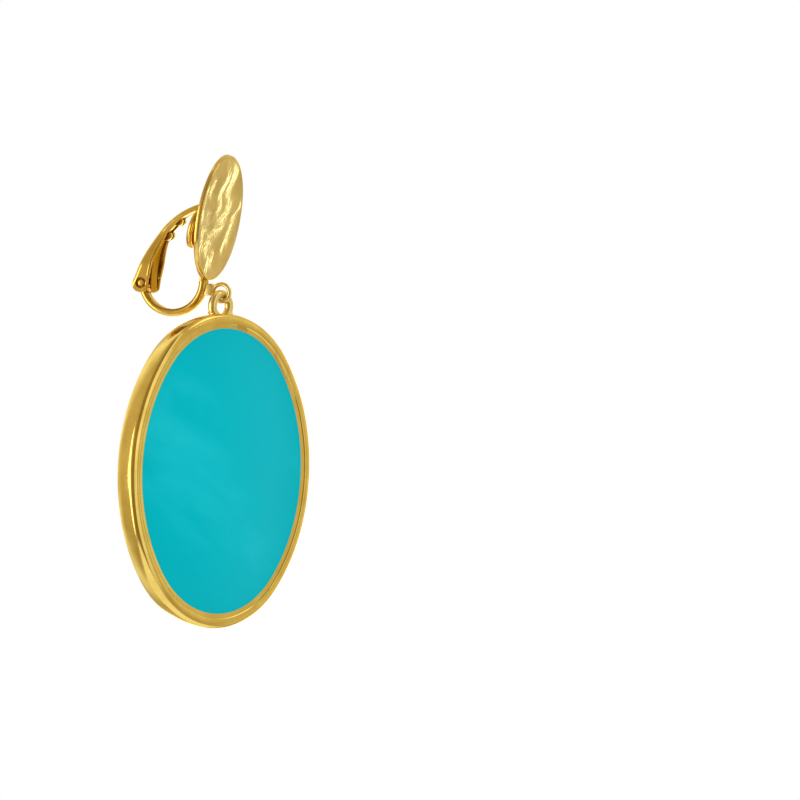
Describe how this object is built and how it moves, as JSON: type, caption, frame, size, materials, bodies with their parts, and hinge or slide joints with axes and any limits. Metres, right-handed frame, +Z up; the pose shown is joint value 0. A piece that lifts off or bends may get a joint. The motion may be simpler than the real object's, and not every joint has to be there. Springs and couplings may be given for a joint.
{
  "type": "clip-on earring",
  "caption": "Clip-on drop earring: a round hammered disc on a lever clip, with a large flat oval drop that holds a turquoise inlay and swings from a hooked ring.",
  "frame": {"origin": "where the ear lobe is held, midway between the lever's paddle and the seat pad behind the disc", "axes": "+Z up, the disc's front faces -Y, X across the clip"},
  "size_m": [0.0273, 0.0173, 0.0538],
  "materials": {
    "disc_metal": "pale gold plating, hammered and satin",
    "clip_metal": "bright gold plating",
    "drop_metal": "satin gold plating",
    "inlay_resin": "smooth opaque turquoise resin with faint lighter clouds"
  },
  "bodies": {
    "clip": {"front_disc": "disc_metal", "ear_frame": "clip_metal", "hinge_pin": "clip_metal"},
    "lever": {"clip_lever": "clip_metal", "leaf_spring": "clip_metal"},
    "drop": {"drop_frame": "drop_metal", "inlay": "inlay_resin"}
  },
  "joints": [
    {"name": "lever_hinge", "type": "hinge", "parent": "clip", "child": "lever", "pos_m": [0, 0.00637, -0.00635], "axis": [-1, 0, 0], "range_deg": [0, 80]},
    {"name": "drop_swing", "type": "hinge", "parent": "clip", "child": "drop", "pos_m": [0, -0.00254, -0.00712], "axis": [-1, 0, 0], "range_deg": [-22, 60]}
  ]
}
